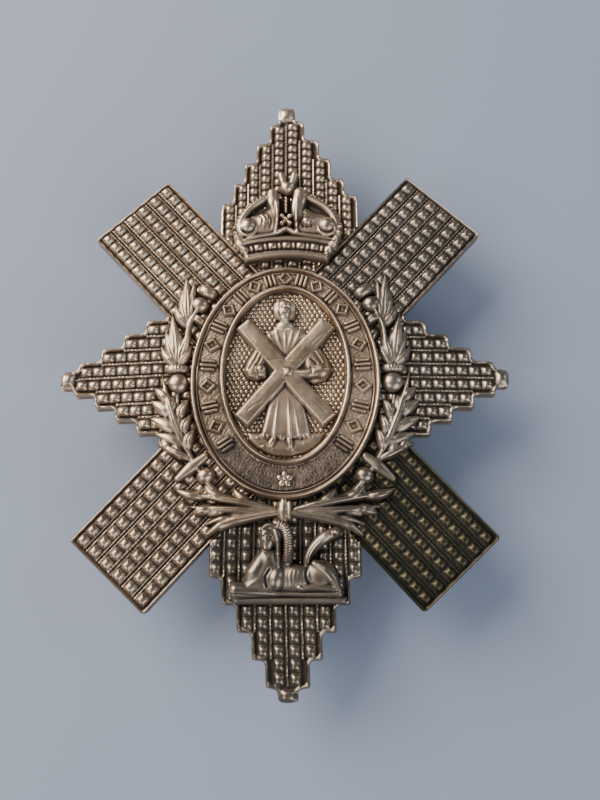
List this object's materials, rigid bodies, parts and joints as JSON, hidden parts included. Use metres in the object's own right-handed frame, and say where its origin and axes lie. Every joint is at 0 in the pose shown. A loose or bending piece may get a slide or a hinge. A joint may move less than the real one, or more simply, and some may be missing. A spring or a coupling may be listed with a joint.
{
  "type": "cap badge",
  "caption": "Star-shaped cap badge with stepped and straight beaded rays, oval belt, crown, wreath and sphinx, on two wire loops with a split pin and backing plate.",
  "frame": {"origin": "centre of the star plate's flat back face", "axes": "+Z out of the face, +Y towards the crown, +X to the viewer's right when the crown is up"},
  "size_m": [0.0511, 0.07, 0.0099],
  "materials": {
    "white_metal": "tarnished, silver plated",
    "copper": "dull copper",
    "brass": "satin"
  },
  "bodies": {
    "badge": {"star_plate": "white_metal", "oval_belt": "white_metal", "field_plate": "white_metal", "saint_and_cross": "white_metal", "crown": "white_metal", "crown_orb": "white_metal", "wreath_left": "white_metal", "wreath_right": "white_metal", "wreath_tie": "white_metal", "belt_rosette": "white_metal", "sphinx": "white_metal", "belt_pegs": "copper", "crown_pegs": "copper", "wreath_pegs": "copper", "sphinx_pegs": "copper", "left_loop": "copper", "right_loop": "copper"},
    "pin": {"split_pin": "brass"},
    "backing": {"backing_plate": "brass"}
  },
  "joints": [
    {"name": "pin_slide", "type": "slide", "parent": "badge", "child": "pin", "axis": [-1, 0, 0], "range_m": [0, 0.03]},
    {"name": "backing_slide", "type": "slide", "parent": "badge", "child": "backing", "axis": [0, 0, 1], "range_m": [0, 0.0033]}
  ]
}
